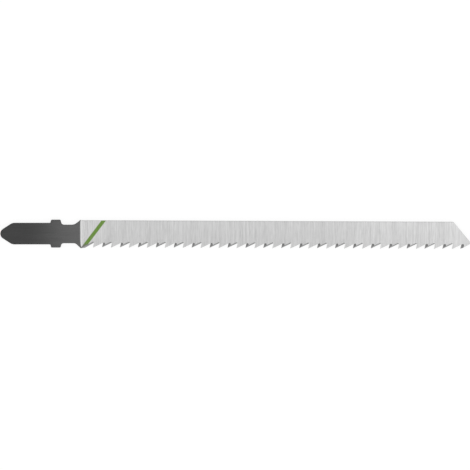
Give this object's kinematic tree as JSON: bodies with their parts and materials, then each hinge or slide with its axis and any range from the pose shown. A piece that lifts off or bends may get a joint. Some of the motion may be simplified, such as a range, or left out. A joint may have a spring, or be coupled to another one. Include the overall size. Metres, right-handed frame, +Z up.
{
  "type": "jigsaw blade",
  "caption": "Long straight jigsaw blade: T shank with two lugs, flared shoulder, ground body with alternately bevelled pointed teeth along one edge and a slanting tip",
  "frame": {"origin": "On the surface it rests on, under the centre of the bounding box, with the blade lying flat on its side", "axes": "+X runs along the blade from the shank's nose to the tip, +Y points out of the straight back edge, -Y out of the teeth, and +Z is up through the thickness"},
  "size_m": [0.152, 0.0094, 0.0015],
  "materials": {
    "ground_steel": "satin, ground across the blade"
  },
  "bodies": {
    "root": {"blade": "ground_steel"}
  },
  "joints": []
}
